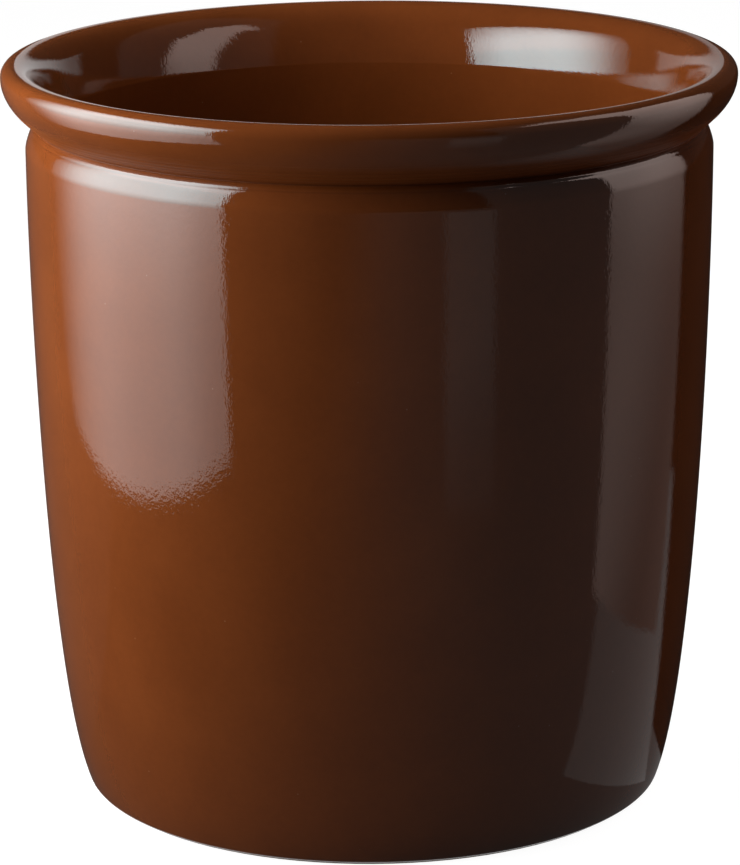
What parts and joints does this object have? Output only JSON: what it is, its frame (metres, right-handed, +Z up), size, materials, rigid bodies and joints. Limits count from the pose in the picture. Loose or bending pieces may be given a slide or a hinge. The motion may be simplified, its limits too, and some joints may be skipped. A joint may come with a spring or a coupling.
{
  "type": "preserving crock",
  "caption": "Brown-glazed stoneware crock with a slightly tapering wall, a rounded shoulder, a tie groove and a rolled flared rim, for preserving and storing food.",
  "frame": {"origin": "middle of the foot, on the surface that the crock stands on", "axes": "+Z up along the axis of the turned pot, X and Y across the mouth"},
  "size_m": [0.1648, 0.1648, 0.1674],
  "materials": {
    "bare_stoneware": "unglazed fired stoneware, matt and slightly gritty",
    "brown_glaze": "glossy iron-brown glaze with a faint orange-peel surface"
  },
  "bodies": {
    "root": {"stoneware_body": "bare_stoneware", "glaze_coat": "brown_glaze", "base_glaze": "brown_glaze"}
  },
  "joints": []
}
